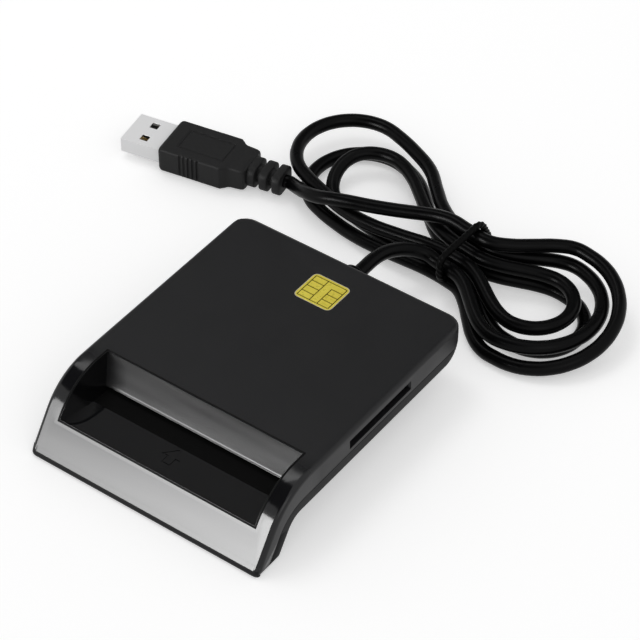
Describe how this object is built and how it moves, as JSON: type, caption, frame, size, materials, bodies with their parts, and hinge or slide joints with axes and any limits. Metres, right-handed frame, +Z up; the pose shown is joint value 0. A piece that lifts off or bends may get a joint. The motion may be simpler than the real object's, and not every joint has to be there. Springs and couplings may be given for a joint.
{
  "type": "smart card reader",
  "caption": "Low desktop smart card reader with a sloping chin, a scooped card mouth, a side memory card slot, a chip emblem, rear legs and a hanked corded plug.",
  "frame": {"origin": "on the table, under the centre of the casing's box", "axes": "+Y from the card mouth to the rear wall where the cord leaves, +X towards the memory card slot, +Z up"},
  "size_m": [0.1541, 0.1508, 0.0188],
  "materials": {
    "gloss_casing": "satin deck turning glossy on the front",
    "satin_casing": "fine satin grain",
    "mouth_plastic": "gloss",
    "emblem_base": "pale gold",
    "gold_pads": "bright gold",
    "circuit_board": "solder mask",
    "pale_plastic": "moulded",
    "dark_plastic": "moulded",
    "spring_contacts": "plated",
    "tinned_sheet": "tinned",
    "small_parts": "ceramic",
    "lead_wire": "insulation",
    "cord_jacket": "satin",
    "tie_band": "coated wire",
    "plug_grip": "satin",
    "plug_metal": "nickel plated",
    "screw_steel": "zinc",
    "foot_rubber": "matte"
  },
  "bodies": {
    "casing": {"top_cover": "gloss_casing", "bottom_cover": "satin_casing", "mouth_insert": "mouth_plastic", "chip_emblem_plate": "emblem_base", "chip_emblem_pads": "gold_pads", "main_board": "circuit_board", "card_connector_frame": "pale_plastic", "card_switch_housing": "dark_plastic", "sd_socket_base": "dark_plastic", "sd_socket_shell": "tinned_sheet", "sd_contact_springs": "spring_contacts", "controller_chip": "dark_plastic", "controller_leads": "tinned_sheet", "crystal_can": "tinned_sheet", "small_parts": "small_parts", "cable_header": "pale_plastic", "cable_leads": "lead_wire", "cable_gland": "cord_jacket", "cord_lead": "cord_jacket", "cord_hank": "cord_jacket", "cord_plug_lead": "cord_jacket", "cord_tie": "tie_band", "plug_strain_relief": "plug_grip", "plug_overmould": "plug_grip", "plug_shell": "plug_metal", "plug_tongue": "pale_plastic", "plug_contacts": "spring_contacts", "cover_screws": "screw_steel", "foot_pads": "foot_rubber"},
    "front_contacts": {"contact_row_front": "spring_contacts"},
    "rear_contacts": {"contact_row_rear": "spring_contacts"},
    "card_switch": {"card_switch_plunger": "pale_plastic"}
  },
  "joints": [
    {"name": "front_contacts_bend", "type": "hinge", "parent": "casing", "child": "front_contacts", "pos_m": [-0.003, 0.0028, 0.0114], "axis": [1, 0, 0], "range_deg": [0, 4], "stiffness_Nm_per_rad": 0.02},
    {"name": "rear_contacts_bend", "type": "hinge", "parent": "casing", "child": "rear_contacts", "pos_m": [-0.003, 0.01042, 0.0114], "axis": [1, 0, 0], "range_deg": [0, 4], "stiffness_Nm_per_rad": 0.02},
    {"name": "card_switch_push", "type": "slide", "parent": "casing", "child": "card_switch", "axis": [0, 1, 0], "range_m": [0, 0.001], "stiffness_N_per_m": 60}
  ]
}
